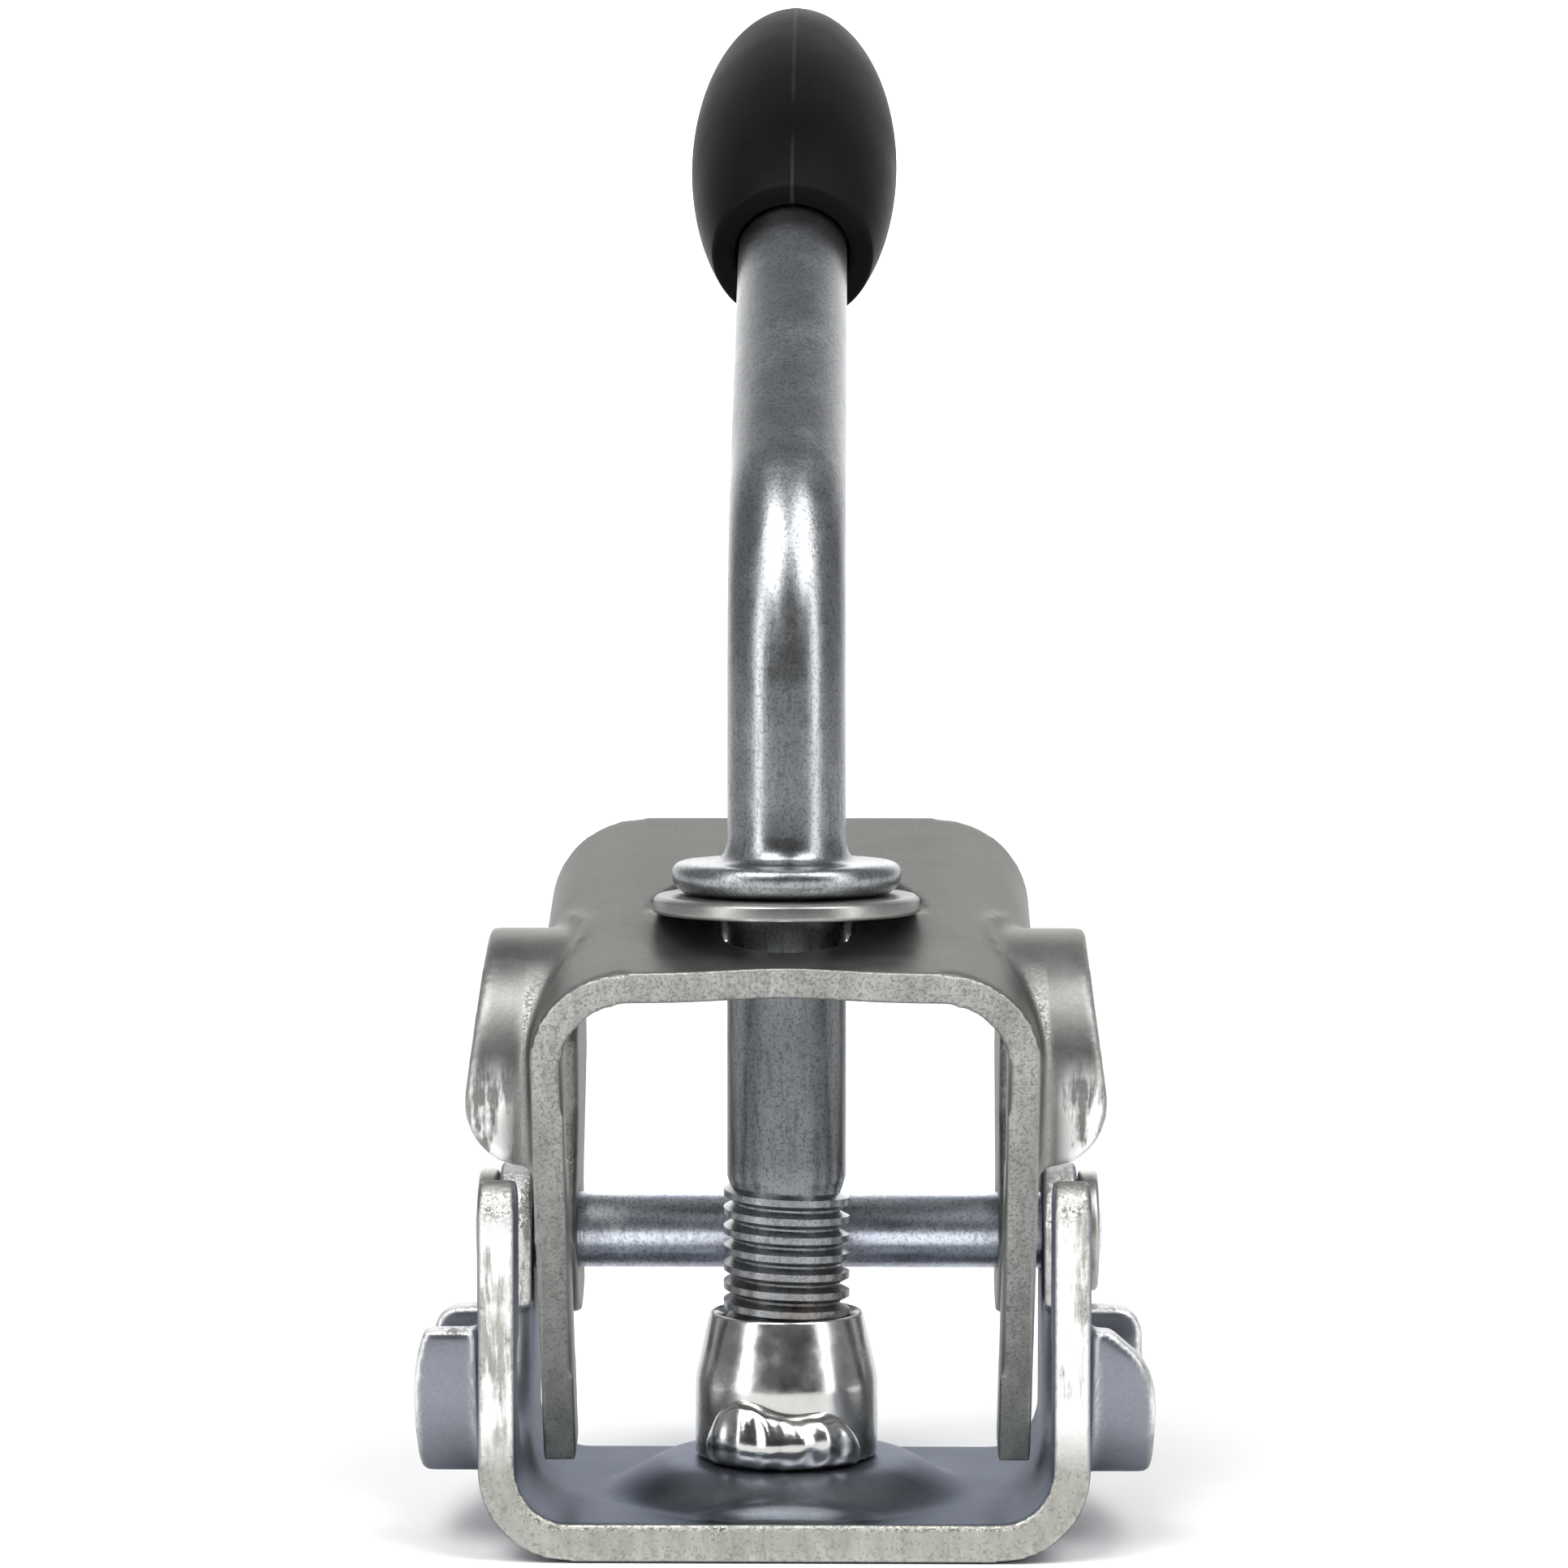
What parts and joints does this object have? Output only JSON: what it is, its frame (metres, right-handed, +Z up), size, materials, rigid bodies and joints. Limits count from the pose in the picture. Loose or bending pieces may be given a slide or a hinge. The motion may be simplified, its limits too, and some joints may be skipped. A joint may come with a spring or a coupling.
{
  "type": "trailer coupler lock",
  "caption": "Screw clamp with a hinged upper jaw over a U-shaped lower jaw, closed by a bent lever with an egg-shaped knob, to lock a trailer coupler.",
  "frame": {"origin": "on the flat underside of the lower jaw, on the screw's axis", "axes": "+Z up along the screw, +X to the right along the hinge pin, +Y to the back, towards the hinge pin and the lever's knob"},
  "size_m": [0.0976, 0.1522, 0.2151],
  "materials": {
    "upper_jaw_zinc": "satin mottled zinc plate over pressed steel",
    "lower_jaw_zinc": "smooth bluish zinc plate over pressed steel, brighter cut edges",
    "screw_zinc": "zinc-plated forged bar with fine draw marks",
    "knob_plastic": "black moulded plastic with a soft sheen",
    "washer_zinc": "zinc-plated pressed washer",
    "nut_steel": "bright turned and plated steel",
    "weld_steel": "rippled plated weld metal",
    "pin_zinc": "smooth zinc-plated round pin",
    "retainer_zinc": "zinc-plated pressed ring"
  },
  "bodies": {
    "lower_jaw": {"lower_jaw": "lower_jaw_zinc", "weld_nut": "nut_steel", "weld_bead_front": "weld_steel", "weld_bead_rear": "weld_steel", "hinge_pin": "pin_zinc", "retainer_left": "retainer_zinc", "retainer_right": "retainer_zinc"},
    "upper_jaw": {"upper_jaw": "upper_jaw_zinc"},
    "thrust_washer": {"thrust_washer": "washer_zinc"},
    "screw": {"screw_lever": "screw_zinc", "knob": "knob_plastic"}
  },
  "joints": [
    {"name": "screw_turn", "type": "hinge", "parent": "thrust_washer", "child": "screw", "pos_m": [0, 0, 0.0857], "axis": [0, 0, 1], "range_deg": [0, 720]},
    {"name": "screw_feed", "type": "slide", "parent": "lower_jaw", "child": "thrust_washer", "axis": [0, 0, 1], "range_m": [0, 0.005]},
    {"name": "jaw_hinge", "type": "hinge", "parent": "lower_jaw", "child": "upper_jaw", "pos_m": [0, 0.021, 0.037], "axis": [-1, 0, 0], "range_deg": [0, 3.4]}
  ],
  "couplings": [
    {"joint": "screw_feed", "follows": "screw_turn", "m_per_rad": 0.00039788},
    {"joint": "jaw_hinge", "follows": "screw_turn", "ratio": 0.0047222}
  ]
}
